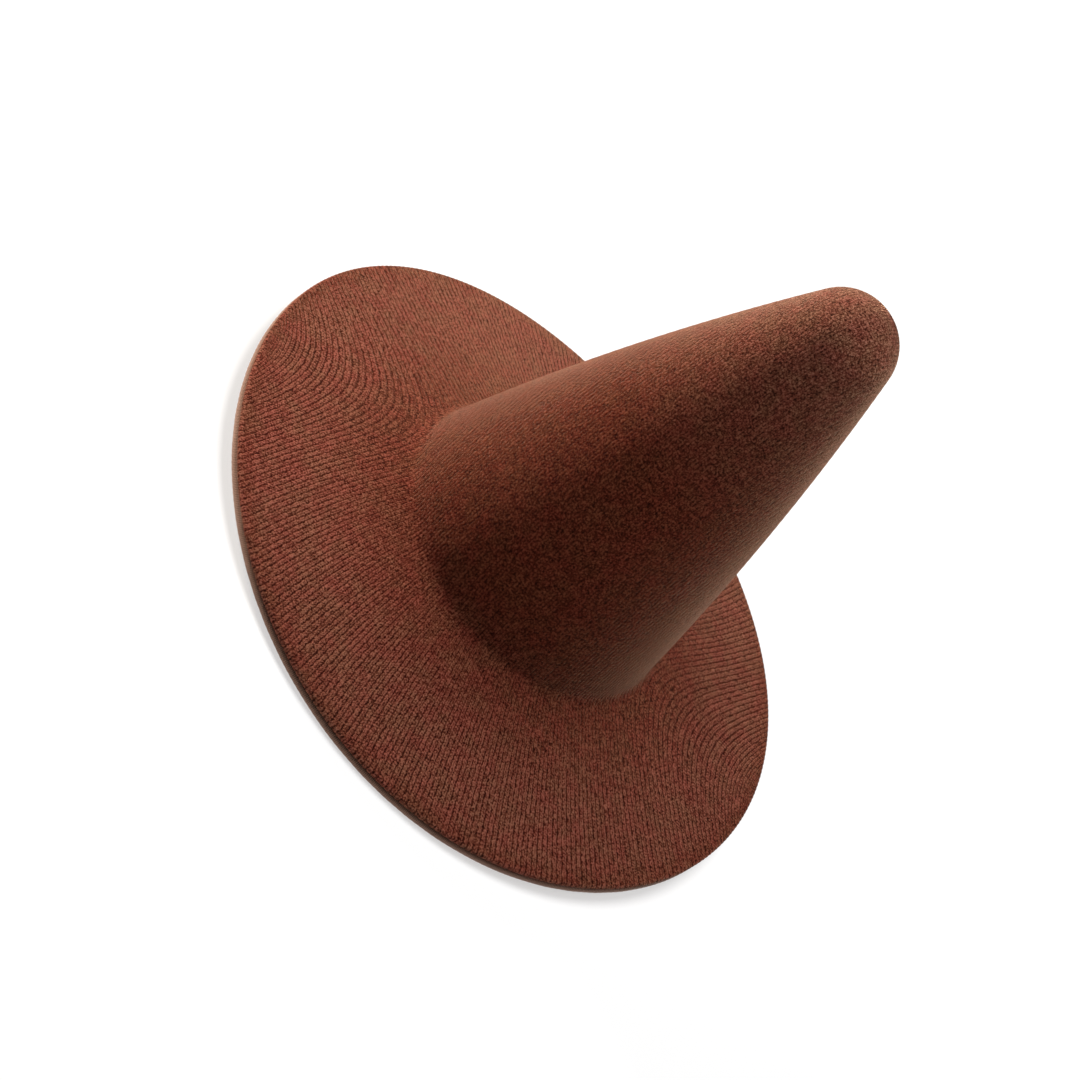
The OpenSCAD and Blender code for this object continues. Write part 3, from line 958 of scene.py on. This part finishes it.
def puckers(s, angle):
    # How far the lining hangs off the form: soft upright folds that wander as they rise, none
    # behind the band or the labels at the back, and none at the tip's pole
    z = section(s)[0][..., 1]
    drift = angle + 0.35 * np.sin(s * 28) + 0.12 * np.sin(s * 71 + 2 * angle)
    folds = 0.5 + 0.3 * np.sin(lining["folds"] * drift) + 0.2 * np.sin(lining["smallFolds"] * drift + 2.1)
    rise = smoothStep(z, lining["startZ"], lining["fullZ"]) * smoothStep(s, 0.004, 0.03)
    fromBack = np.abs(angle % (2 * math.pi) - math.pi)
    atLabels = (1 - smoothStep(fromBack, *lining["labelSide"])) * (1 - smoothStep(z, *lining["labelTop"]))
    return lining["pucker"] * folds * rise * (1 - atLabels)


def makeLining():
    s = np.concatenate([np.linspace(0, tipEnd, 16), np.linspace(tipEnd, sideEnd, 64)[1:]])
    return dome("crownLining", s,
                lambda s, a: lining["inset"] + puckers(s, a),
                lambda s, a: lining["inset"] + hat["liningT"] + puckers(s, a), 240)


def satinMaterial(name, dark, light):
    # Satin: long floats of fine thread, which shine across their length
    material, tree, shader = newMaterial(name, 0.42, 0.25, 0.3, (1, 0.9, 0.85), 0.45)
    feed(shader, {"Anisotropic": 0.5})
    weave = weavePlace(tree)
    threads = waveOf(tree, parts(tree, weave)[1], 2200)
    floats = noise(tree, stretched(tree, weave, (900, 2600, 1)), 1, 2, 0.6)
    height = calc(tree, "MULTIPLY_ADD", threads, 0.35, floats)
    paint(tree, shader, [(0.35, dark), (0.95, light)], height, 0.00006, 0.6)
    return material


crownLining = finish(makeLining(),
                     satinMaterial("liningSatin", (0.035, 0.016, 0.013), (0.085, 0.042, 0.034)),
                     "crown_lining")

band = {"ribs": 500, "ribDepth": 0.00009, "selvedge": 0.0012}


def makeSweatband():
    # A ribbon hoop whose upright ribs sink into it on both faces, with soft selvedges
    inner, outer = hat["headR"], bandHigh[0]
    low, high = bandLow[2], bandHigh[2]
    line = [np.array(p) for p in ((inner, low), (inner, high), (outer, high), (outer, low))]
    loop = spaced(line + line[:1], 0.0025)[:-1]

    def ribs(along, angle):
        height = np.interp(along, lengthAlong(np.vstack([loop, loop[:1]])), np.append(loop[:, 1], low))
        inside = smoothStep(np.minimum(height - low, high - height), 0, band["selvedge"])
        return -band["ribDepth"] * inside * (0.5 + 0.5 * np.cos(band["ribs"] * angle))

    return hoop("sweatbandRibbon", loop, band["ribs"] * 4, ribs, wavy=False)


sweatband = finish(makeSweatband(),
                   clothMaterial("grosgrain", [(0.012, 0.008, 0.007), (0.05, 0.034, 0.03)],
                                 0.00112, 0.0004, 0.7, 0.25, 0.0001),
                   "sweatband")

label = {"width": 0.042, "thick": 0.0003, "puff": 0.00018, "puffRun": 0.004}
tag = {"thick": 0.0002, "lift": 0.00011, "foldR": 0.00028, "gape": 0.0011}
labelLow, labelHigh = nodeBox("woven_label")
tagLow, tagHigh = nodeBox("care_tag")
labelInset = lining["inset"] + hat["liningT"] + hat["gap"]


def sideS(z):
    # The distance down the face at which its height is z
    s = np.linspace(0, sideEnd, 2001)
    return np.interp(-z, -section(s)[0][:, 1], s)


def wovenLabel():
    z = np.linspace(labelLow[2], labelHigh[2], 13)
    run = np.clip(np.minimum(z - z[0], z[-1] - z) / label["puffRun"], 0, 1)
    puff = label["puff"] * np.sin(run * math.pi / 2)
    path = section(sideS(z), labelInset + label["thick"] / 2 + puff)[0]
    return ribbon("wovenLabel", path, label["thick"], label["width"], 33)


def careTag():
    # One ribbon, folded at its lower end: down the back leaf, round the fold and up the front
    turn = np.linspace(0, math.pi, 9)[1:-1]
    foldR = tag["foldR"]
    down = np.linspace(tagHigh[2] - 0.0001, tagLow[2] + foldR, 14)
    z = np.concatenate([down, down[-1] - foldR * np.sin(turn), down[::-1]])
    rise = (down[::-1] - down[-1]) / (down[0] - down[-1])
    gape = tag["gape"] * np.sin(rise * math.pi)
    off = np.concatenate([0 * down, foldR * (1 - np.cos(turn)), 2 * foldR + gape])
    path = section(sideS(z), labelInset + tag["lift"] + off)[0]
    return ribbon("careTag", path, tag["thick"], tagHigh[0] - tagLow[0], 21)


wovenPiece = finish(wovenLabel(),
                    clothMaterial("labelDamask", [(0.012, 0.012, 0.012), (0.075, 0.07, 0.068)],
                                  0.0005, 0.0005, 0.6, 0.15, 0.00008),
                    "woven_label")
tagPiece = finish(careTag(),
                  clothMaterial("tagSatin", [(0.66, 0.64, 0.6), (0.86, 0.85, 0.81)],
                                0.0006, 0.0004, 0.5, 0.2, 0.00006),
                  "care_tag")
print("lining, band and labels ready")


sewing = {
    "radius": 0.0003,
    "labelRadius": 0.00024,
    "sunk": 0.0001,  # middle of the thread over the cloth
    "hemCount": 200,
    "hemAlong": 0.0045,
    "hemLength": 0.0036,
    "bandCount": 130,
    "bandOut": 0.002,  # beyond the facing's leg
    "bandLength": 0.0028,
    "labelCount": 9,
    "labelLength": 0.0027,
    "labelEdge": 0.0015,
    "labelSide": 0.002,
}


def threadMaterial(name, dark, light):
    # Plied thread: bands slant round it, from the UV round it and the distance along it
    material, tree, shader = newMaterial(name, 0.6, 0.3, 0.4, specular=0.3)
    u, v, _ = parts(tree, weavePlace(tree))
    ply = waveOf(tree, calc(tree, "MULTIPLY_ADD", v, 1100, u), 1)
    fine = noise(tree, objectPlace(tree), 1800, 2)
    height = calc(tree, "MULTIPLY_ADD", fine, 0.4, ply)
    paint(tree, shader, [(0.1, dark), (1.0, light)], height, 0.00006, 0.9)
    return material


def underRing(name, along, inset, count, length):
    # Stitches round the underside of the brim, which lie on the facing and point downwards
    p = brimAt(along, inset + hat["facingT"] + sewing["sunk"])
    angle = (np.arange(count) + 0.5) * 2 * math.pi / count
    places = turned(np.full(count, p[0]), p[1], angle)
    ahead = np.stack([np.cos(angle), np.sin(angle), 0 * angle], -1)
    out = turned(np.full(count, -brimV[0]), -brimV[1], angle)
    return stitchRow(name, places, ahead, out, length, sewing["radius"])


threadMat = threadMaterial("sewingThread", (0.045, 0.014, 0.01), (0.16, 0.055, 0.04))
finish(underRing("hemStitches", sewing["hemAlong"], facingFar, sewing["hemCount"], sewing["hemLength"]),
       threadMat, "hem_stitches")
bandR = bandHigh[0] + facingShape["legGap"] + facingShape["legT"] + sewing["bandOut"]
bandAlong = brimAlong(bandR, facingNear + hat["facingT"] + sewing["sunk"])
finish(underRing("bandStitches", bandAlong, facingNear, sewing["bandCount"], sewing["bandLength"]),
       threadMat, "band_stitches")


def labelSewing():
    # Two rows across the label, on its face towards the head
    count = sewing["labelCount"]
    z = np.repeat([labelLow[2] + sewing["labelEdge"], labelHigh[2] - sewing["labelEdge"]], count)
    flat, n = section(sideS(z), labelInset + label["thick"] + sewing["sunk"])
    across = np.tile(np.linspace(-1, 1, count) * (label["width"] / 2 - sewing["labelSide"]), 2)
    angle = math.pi + across / flat[:, 0]
    places = turned(flat[:, 0], flat[:, 1], angle)
    ahead = np.stack([np.cos(angle), np.sin(angle), 0 * angle], -1)
    out = -turned(n[:, 0], n[:, 1], angle)
    return stitchRow("labelStitches", places, ahead, out, sewing["labelLength"],
                     sewing["labelRadius"], wavy=False)


finish(labelSewing(), threadMaterial("labelThread", (0.05, 0.045, 0.042), (0.16, 0.15, 0.14)),
       "label_stitches")
print("sewing ready")


look = {
    "azimuth": -20.0,
    "elevation": 37.9,
    "roll": 55.6,
    "distance": 4.1,
    "lens": 231.2,
    "refZ": 0.0142,
    "across": 0.0191,
    "up": 0.0196,
    "floorHalf": 6.0,
    "floorGrey": 0.42,
    "floorGlow": 0.56,
    "worldLight": 0.07,
}
# Azimuth, elevation, distance, size, power and colour
lights = {
    "key": (-124, 8, 1.8, 0.5, 58, (1, 0.91, 0.79)),
    "overhead": (-175, 80, 2.2, 1.2, 52, (1, 1, 1)),
    "rightFill": (78, 62, 2.2, 0.8, 7, (1, 1, 1)),
}


def heading(azimuth, elevation):
    # Unit vector from the hat: azimuth 0 is the front, and 90 the side towards +X
    a, e = math.radians(azimuth), math.radians(elevation)
    return Vector((math.sin(a) * math.cos(e), -math.cos(a) * math.cos(e), math.sin(e)))


def makeCamera():
    back = heading(look["azimuth"], look["elevation"])
    right = (-back).cross(Vector((0, 0, 1))).normalized()
    up = right.cross(-back)
    roll = math.radians(look["roll"])
    x = right * math.cos(roll) + up * math.sin(roll)
    y = up * math.cos(roll) - right * math.sin(roll)
    aim = Vector((0, 0, look["refZ"])) + x * look["across"] + y * look["up"]
    data = bpy.data.cameras.new("camera")
    data.sensor_width = 36
    data.lens = look["lens"]
    data.clip_end = 50
    camera = bpy.data.objects.new("camera", data)
    camera.matrix_world = Matrix.Translation(aim + back * look["distance"]) @ Matrix(
        (x, y, back)).transposed().to_4x4()
    scene.collection.objects.link(camera)
    scene.camera = camera


def areaLight(name, azimuth, elevation, distance, size, power, colour):
    data = bpy.data.lights.new(name, "AREA")
    data.shape = "DISK"
    data.size = size
    data.energy = power
    data.color = colour
    light = bpy.data.objects.new(name, data)
    target = Vector((0, 0, 0.12))
    away = heading(azimuth, elevation)
    light.location = target + away * distance
    light.rotation_euler = away.to_track_quat("Z", "Y").to_euler()
    scene.collection.objects.link(light)


def makeStage():
    # A floor that glows a little, as a light table does, and is clear from below
    sides = look["floorHalf"] * np.array([(-1, -1, 0), (1, -1, 0), (1, 1, 0), (-1, 1, 0)])
    floor = makeMesh("floor", sides, [np.arange(4)[None, :]], [None])
    material, tree, shader = newMaterial("palePaper", 0.9, specular=0.1)
    feed(shader, {"Base Color": (*[look["floorGrey"]] * 3, 1), "Emission Color": (1, 1, 1, 1),
                  "Emission Strength": look["floorGlow"]})
    below = added(tree, "NewGeometry", {}, "Backfacing")
    clear = added(tree, "BsdfTransparent", {})
    surface = added(tree, "MixShader", {0: below, 1: shader.outputs[0], 2: clear})
    feed(tree.nodes["Material Output"], {"Surface": surface})
    floor.data.materials.append(material)
    world = bpy.data.worlds.new("studio")
    world.use_nodes = True
    feed(world.node_tree.nodes["Background"], {"Color": (1, 0.99, 0.98, 1), "Strength": look["worldLight"]})
    scene.world = world
    scene.view_settings.view_transform = "Standard"


makeCamera()
makeStage()
for name, values in lights.items():
    areaLight(name, *values)
print("stage and camera ready")
